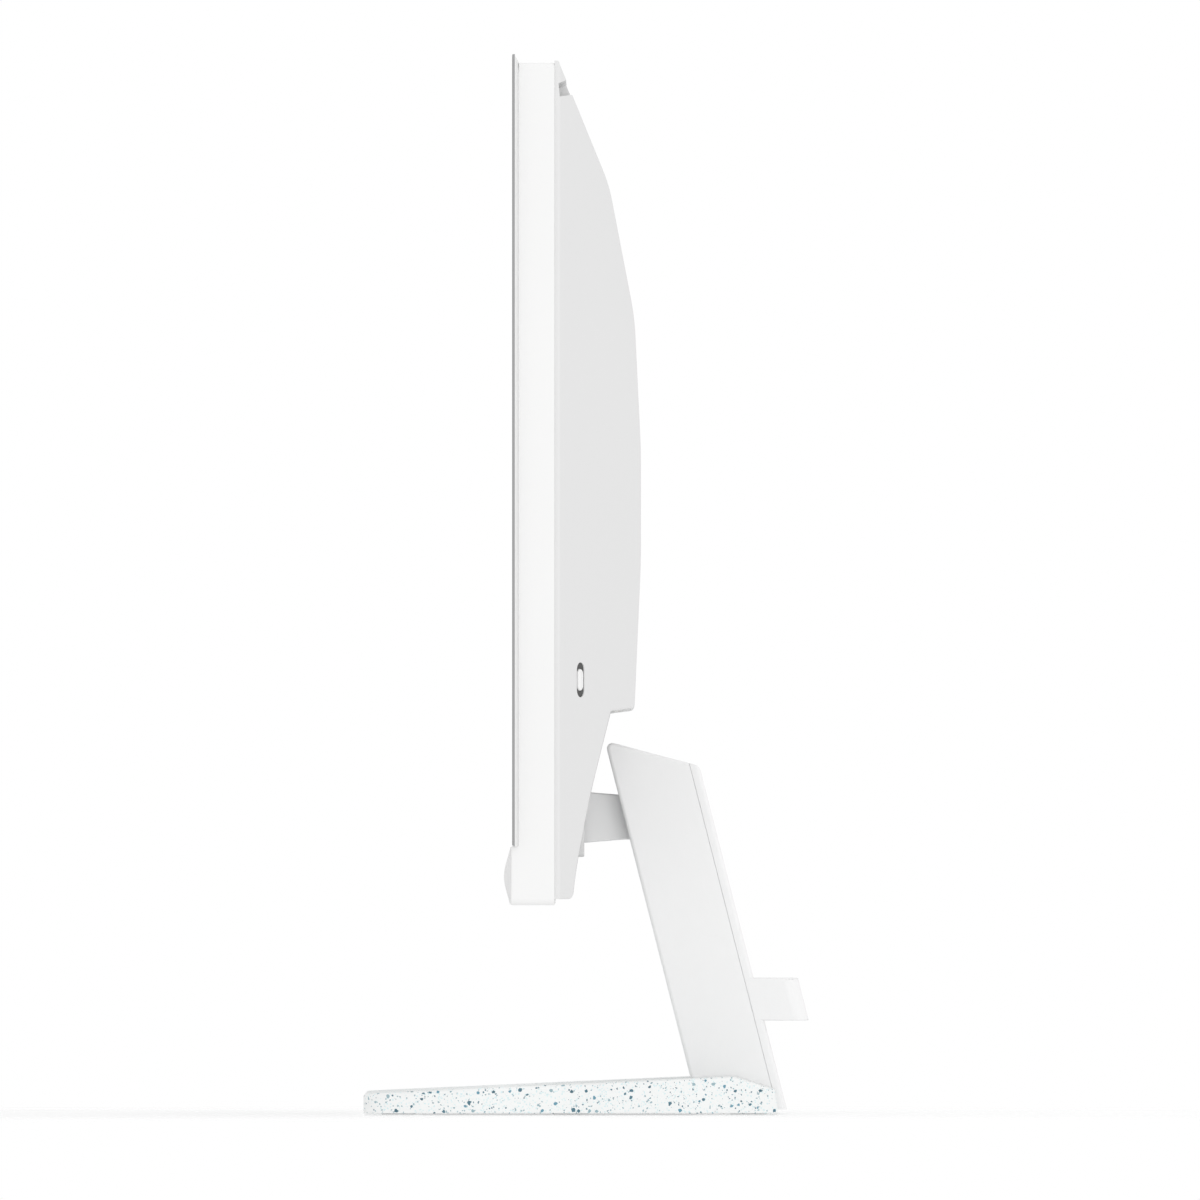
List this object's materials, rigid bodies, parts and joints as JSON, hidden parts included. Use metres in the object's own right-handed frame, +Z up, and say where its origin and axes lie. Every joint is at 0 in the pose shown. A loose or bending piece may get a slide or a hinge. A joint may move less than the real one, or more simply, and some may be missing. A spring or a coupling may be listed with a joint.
{
  "type": "all-in-one desktop computer",
  "caption": "Slim all-in-one desktop computer: borderless screen with the computer behind it, tilting on a leaning column with a cable clip and a speckled base.",
  "frame": {"origin": "on the desk, under the middle of the overall width and depth", "axes": "the screen faces -Y, +X is the viewer's right when facing the screen, +Z is up"},
  "size_m": [0.54, 0.176, 0.4156],
  "materials": {
    "display_glass": "polished, dark behind",
    "diffuser_white": "satin sheet",
    "light_guide_clear": "polished",
    "led_yellow": "matt",
    "tray_aluminium": "satin",
    "frame_white": "fine matt texture",
    "trim_white": "fine matt texture",
    "cover_white": "fine matt texture",
    "button_white": "satin",
    "sheet_steel": "zinc plated",
    "dark_steel": "black zinc",
    "shaft_steel": "ground",
    "board_green": "solder mask",
    "chip_dark": "matt",
    "copper": "satin",
    "fin_aluminium": "satin",
    "black_plastic": "matt",
    "port_metal": "nickel plated",
    "cell_metal": "satin",
    "flex_amber": "satin film",
    "lens_glass": "coated",
    "stand_white": "fine matt texture",
    "stand_steel": "zinc plated",
    "base_terrazzo": "matt, with slate and mint speckles",
    "foot_rubber": "matt"
  },
  "bodies": {
    "stand": {"base_plate": "base_terrazzo", "base_weight": "stand_steel", "base_screws": "dark_steel", "rubber_feet": "foot_rubber", "column_shell": "stand_white", "column_core": "stand_steel", "column_rear_cover": "stand_white", "cable_clip": "stand_white", "neck_arm": "stand_white", "neck_screws": "dark_steel", "hinge_shaft": "shaft_steel", "hinge_washers": "dark_steel", "hinge_nuts": "sheet_steel"},
    "head": {"lcd_cell": "display_glass", "optical_films": "diffuser_white", "light_guide": "light_guide_clear", "led_strip": "led_yellow", "panel_tray": "tray_aluminium", "mid_frame": "frame_white", "chin_trim": "trim_white", "rear_cover": "cover_white", "hinge_cover": "cover_white", "chassis_plate": "sheet_steel", "hinge_bracket": "dark_steel", "motherboard": "board_green", "board_standoffs": "copper", "cpu_package": "chip_dark", "cooler_plate": "copper", "heat_pipe": "copper", "heatsink_fins": "fin_aluminium", "fan_housing": "black_plastic", "memory_modules": "board_green", "storage_drive": "chip_dark", "wifi_card": "board_green", "coin_cell": "cell_metal", "antennas": "flex_amber", "panel_driver_board": "board_green", "display_cable": "flex_amber", "speaker_left": "black_plastic", "speaker_right": "black_plastic", "usb_ports": "port_metal", "hdmi_port": "port_metal", "lan_port": "port_metal", "audio_jack": "black_plastic", "power_inlet": "black_plastic", "io_shield": "port_metal", "button_board": "board_green", "camera_guide": "black_plastic", "cover_screws": "dark_steel", "hinge_screws": "dark_steel"},
    "power_button": {"power_button": "button_white"},
    "camera": {"camera_carriage": "frame_white", "camera_lens": "lens_glass"},
    "fan": {"fan_rotor": "black_plastic"}
  },
  "joints": [
    {"name": "head_tilt", "type": "hinge", "parent": "stand", "child": "head", "pos_m": [0, -0.00962, 0.1172], "axis": [-1, 0, 0], "range_deg": [-5, 14]},
    {"name": "power_press", "type": "slide", "parent": "head", "child": "power_button", "axis": [-0.482, -0.8762, 0], "range_m": [0, 0.0008], "stiffness_N_per_m": 1500, "springref_m": -0.0002},
    {"name": "camera_rise", "type": "slide", "parent": "head", "child": "camera", "axis": [0, 0, 1], "range_m": [0, 0.022]},
    {"name": "fan_spin", "type": "hinge", "parent": "head", "child": "fan", "pos_m": [0.044, -0.00552, 0.2946], "axis": [0, 1, 0], "continuous": true}
  ]
}
